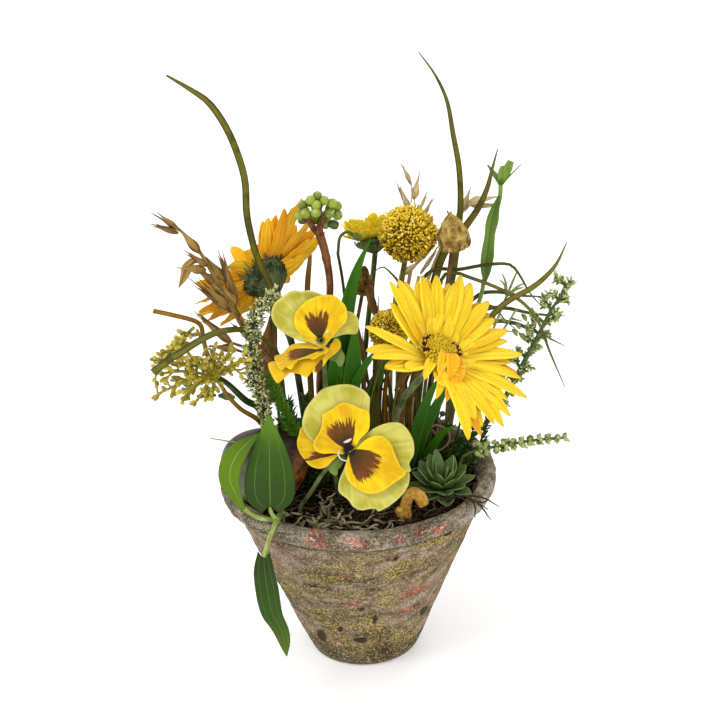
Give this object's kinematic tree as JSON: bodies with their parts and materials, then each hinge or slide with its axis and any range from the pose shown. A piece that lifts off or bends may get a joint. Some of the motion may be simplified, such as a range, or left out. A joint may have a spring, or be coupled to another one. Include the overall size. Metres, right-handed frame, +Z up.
{
  "type": "mixed flower planter",
  "caption": "Terracotta pot filled with foam and moss that holds silk flowers, dried pods and oats, grasses, berries, a round fruit and a trailing vine.",
  "frame": {"origin": "centre of the pot's base, on the surface that it stands on", "axes": "+Z up along the pot's axis; the side that faces the viewer is -Y, and +X is to that viewer's right"},
  "size_m": [0.2241, 0.162, 0.3352],
  "materials": {
    "terracotta": null,
    "floral_foam": null,
    "dark_moss": "dark dried moss and soil",
    "pale_moss": "pale dried reindeer moss",
    "green_moss": "brown-green dried moss",
    "dried_fruit": "dried fruit skin, dark purple to rust, faint gloss",
    "succulent_plastic": "soft moulded plastic with pale leaf margins",
    "ochre_pod": "dried ribbed pod, ochre",
    "bark": "thin red-brown bark",
    "green_stem": "flocked or ribbed plastic over wire",
    "yellow_silk": "stiffened polyester silk, lemon yellow with printed brown rays",
    "pale_silk": "stiffened polyester silk, pale yellow",
    "orange_silk": "stiffened polyester silk, orange-gold",
    "flower_disc": "granular flocked disc",
    "dried_floret": "packed dried florets, golden to olive-brown",
    "dried_pod": "dried scaly pod, tan",
    "dried_oat": "dry straw husks with dark stripes",
    "dry_grass": "olive plastic grass, satin",
    "berry_plastic": "light green moulded beads, satin gloss",
    "leaf_plastic": "moulded leaf green plastic",
    "filler_plastic": "moulded filler beads and florets, dusty",
    "leaf_silk": "stiffened silk leaf with pale veins"
  },
  "bodies": {
    "root": {"pot": "terracotta", "floral_foam": "floral_foam", "moss_bed": "dark_moss", "reindeer_moss": "pale_moss", "green_moss": "green_moss", "round_fruit": "dried_fruit", "succulent_rosette": "succulent_plastic", "ochre_stub": "ochre_pod", "rim_twigs": "bark", "pansy_a_stem": "green_stem", "pansy_a_back_petals": "pale_silk", "pansy_a_upper_petal": "yellow_silk", "pansy_a_lower_petals": "yellow_silk", "pansy_b_stem": "green_stem", "pansy_b_left_petal": "yellow_silk", "pansy_b_back_petals": "pale_silk", "pansy_b_front_petals": "yellow_silk", "yellow_gerbera_stem": "green_stem", "yellow_gerbera_outer_petals": "yellow_silk", "yellow_gerbera_inner_petals": "pale_silk", "yellow_gerbera_disc": "flower_disc", "orange_gerbera_stem": "green_stem", "orange_gerbera_outer_petals": "orange_silk", "orange_gerbera_inner_petals": "orange_silk", "orange_gerbera_disc": "flower_disc", "daisy_stem": "green_stem", "daisy_flower": "yellow_silk", "large_billy_button": "dried_floret", "small_billy_button": "dried_floret", "cone_pod": "dried_pod", "round_pod": "dried_pod", "berry_stem": "bark", "berry_cluster": "berry_plastic", "left_oats": "dried_oat", "back_oats": "dried_oat", "right_oats": "dried_oat", "tall_left_blade": "dry_grass", "tall_centre_blade": "dry_grass", "tall_right_blade": "dry_grass", "brown_blade": "dry_grass", "low_left_arc": "bark", "high_left_arc": "dry_grass", "upper_grass_tuft": "dry_grass", "lower_grass_tuft": "dry_grass", "whorled_leafy_stem": "leaf_plastic", "long_wavy_leaf": "leaf_plastic", "yellow_bead_filler": "filler_plastic", "white_green_filler": "filler_plastic", "needle_fern": "leaf_plastic", "right_sprig": "filler_plastic", "berry_spike": "berry_plastic", "iris_leaves": "leaf_silk", "single_iris_leaf": "leaf_silk", "bead_sprig": "filler_plastic", "curled_tendril": "dry_grass", "vine_stem": "green_stem", "upright_vine_leaf": "leaf_silk", "folded_vine_leaf": "leaf_silk", "hanging_vine_leaf": "leaf_silk"}
  },
  "joints": []
}
